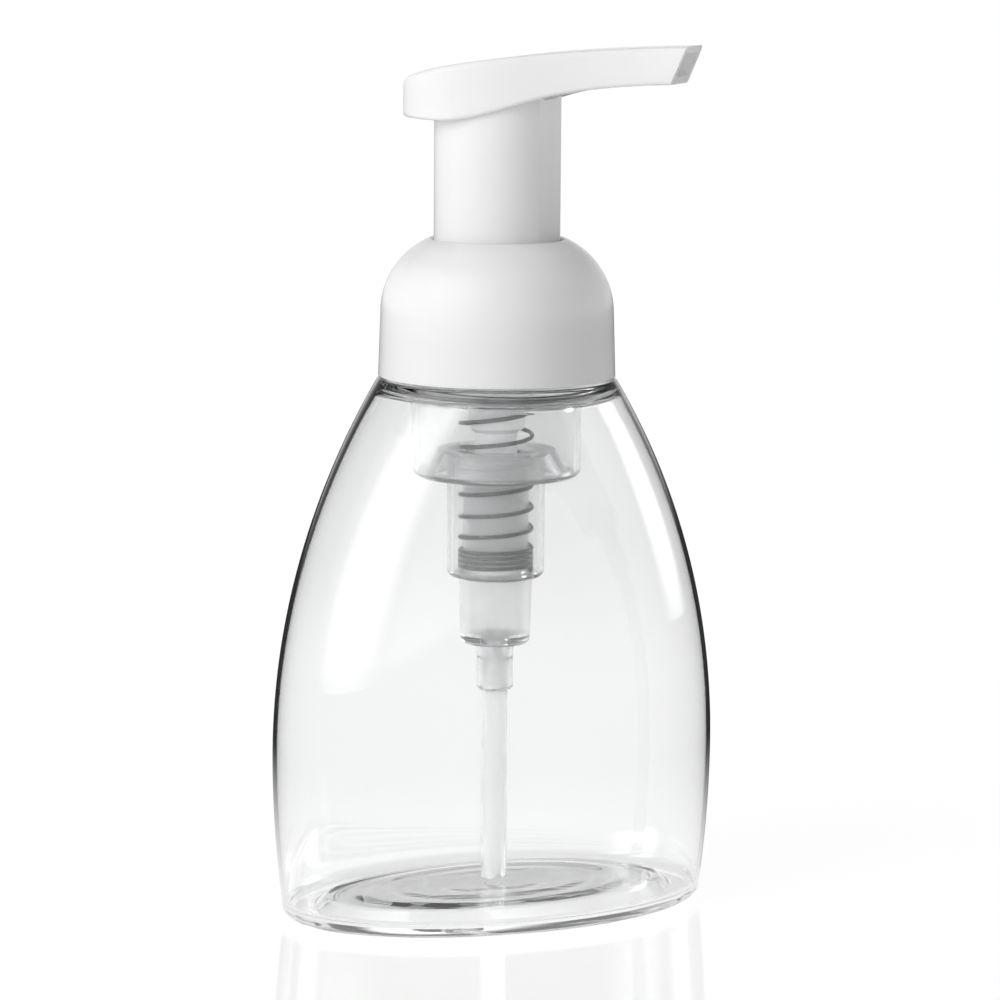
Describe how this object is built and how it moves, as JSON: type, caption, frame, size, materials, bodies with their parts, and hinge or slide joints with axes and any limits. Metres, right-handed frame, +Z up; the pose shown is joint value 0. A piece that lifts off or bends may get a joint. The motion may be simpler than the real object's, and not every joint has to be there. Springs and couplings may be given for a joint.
{
  "type": "foaming soap pump bottle",
  "caption": "Clear oval bottle with a white domed screw collar and a sprung foaming soap pump: swivelling flat spout, see-through cylinder, spring and dip tube inside.",
  "frame": {"origin": "centre of the oval base, on the surface that the bottle stands on", "axes": "+Z up along the pump's axis, +X along the long axis of the oval body, the spout at rest 43 degrees from +X towards -Y"},
  "size_m": [0.0864, 0.0564, 0.1618],
  "materials": {
    "clear_pet": "clear, glossy blow-moulded",
    "white_pp": "smooth glossy moulded",
    "natural_pp": "milky translucent moulded",
    "soft_pe": "soft satin moulded",
    "silicone": "translucent satin",
    "foam_seal": "fine closed-cell foam",
    "spring_steel": "drawn wire",
    "polished_steel": "polished ball",
    "nylon_mesh": "fine woven mesh"
  },
  "bodies": {
    "bottle_body": {"bottle": "clear_pet"},
    "pump": {"pump_housing": "natural_pp", "cylinder_cover": "white_pp", "neck_gasket": "foam_seal", "dip_tube": "natural_pp", "ball_cage": "natural_pp", "return_spring": "spring_steel"},
    "collar": {"screw_collar": "white_pp"},
    "plunger": {"piston_stem": "natural_pp", "air_piston": "soft_pe", "air_valve": "silicone", "liquid_piston": "soft_pe"},
    "head": {"pump_head": "white_pp", "mesh_holder": "natural_pp", "lower_screen": "nylon_mesh", "upper_screen": "nylon_mesh"},
    "inlet_valve": {"inlet_ball": "polished_steel"},
    "outlet_valve": {"outlet_ball": "polished_steel"}
  },
  "joints": [
    {"name": "pump_lift", "type": "slide", "parent": "bottle_body", "child": "pump", "axis": [0, 0, 1], "range_m": [0, 0.0053]},
    {"name": "collar_turn", "type": "hinge", "parent": "pump", "child": "collar", "pos_m": [0, 0, 0.1004], "axis": [0, 0, 1], "range_deg": [0, 450]},
    {"name": "plunger_press", "type": "slide", "parent": "pump", "child": "plunger", "axis": [0, 0, -1], "range_m": [0, 0.016], "stiffness_N_per_m": 400, "springref_m": -0.02, "deforming": ["return_spring"]},
    {"name": "head_swivel", "type": "hinge", "parent": "plunger", "child": "head", "pos_m": [0, 0, 0.108], "axis": [0, 0, 1], "continuous": true},
    {"name": "inlet_ball_lift", "type": "slide", "parent": "pump", "child": "inlet_valve", "axis": [0, 0, 1], "range_m": [0, 0.0012]},
    {"name": "outlet_ball_lift", "type": "slide", "parent": "plunger", "child": "outlet_valve", "axis": [0, 0, 1], "range_m": [0, 0.0013]}
  ],
  "couplings": [
    {"joint": "pump_lift", "follows": "collar_turn", "m_per_rad": 0.0006737}
  ]
}
